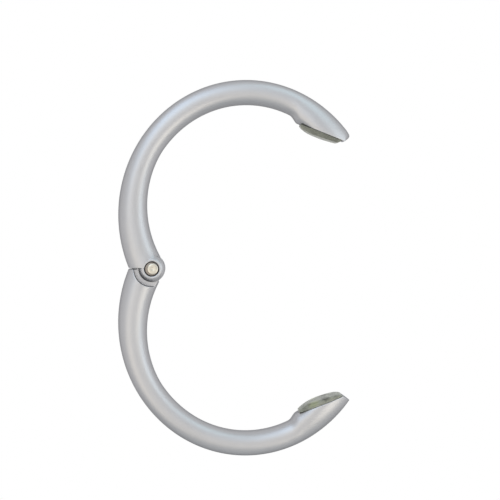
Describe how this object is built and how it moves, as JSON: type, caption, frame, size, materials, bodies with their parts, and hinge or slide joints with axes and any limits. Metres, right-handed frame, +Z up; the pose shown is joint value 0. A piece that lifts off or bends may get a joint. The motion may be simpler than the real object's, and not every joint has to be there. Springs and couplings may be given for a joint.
{
  "type": "purse hook",
  "caption": "Ring-type purse hook: half-ring arms on a sprung hinge, with an oblique non-slip pad at each tip; one end rests on a table, the other holds a bag's strap.",
  "frame": {"origin": "middle of the upper pad's flat face, the face that lies on the table's top", "axes": "the ring lies in the XZ plane as it stands in the picture: +Z up, +X from the hinge towards the open mouth, Y along the hinge pin. In use the whole hook turns 21 degrees about Y, so that the upper pad lies flat on the table"},
  "size_m": [0.065, 0.01, 0.1052],
  "materials": {
    "satin_metal": "satin plated zinc casting, polished smooth on the head sides",
    "pin_steel": "polished steel",
    "spring_steel": "drawn spring wire",
    "pad_rubber": "clear olive polyurethane, soft satin"
  },
  "bodies": {
    "upper_side": {"upper_arm": "satin_metal", "hinge_pin": "pin_steel", "torsion_spring": "spring_steel", "upper_pad": "pad_rubber"},
    "lower_side": {"lower_arm": "satin_metal", "lower_pad": "pad_rubber"}
  },
  "joints": [
    {"name": "ring_hinge", "type": "hinge", "parent": "upper_side", "child": "lower_side", "pos_m": [-0.04666, 0, -0.03686], "axis": [0, -1, 0], "range_deg": [0, 67], "deforming": ["torsion_spring"]}
  ]
}
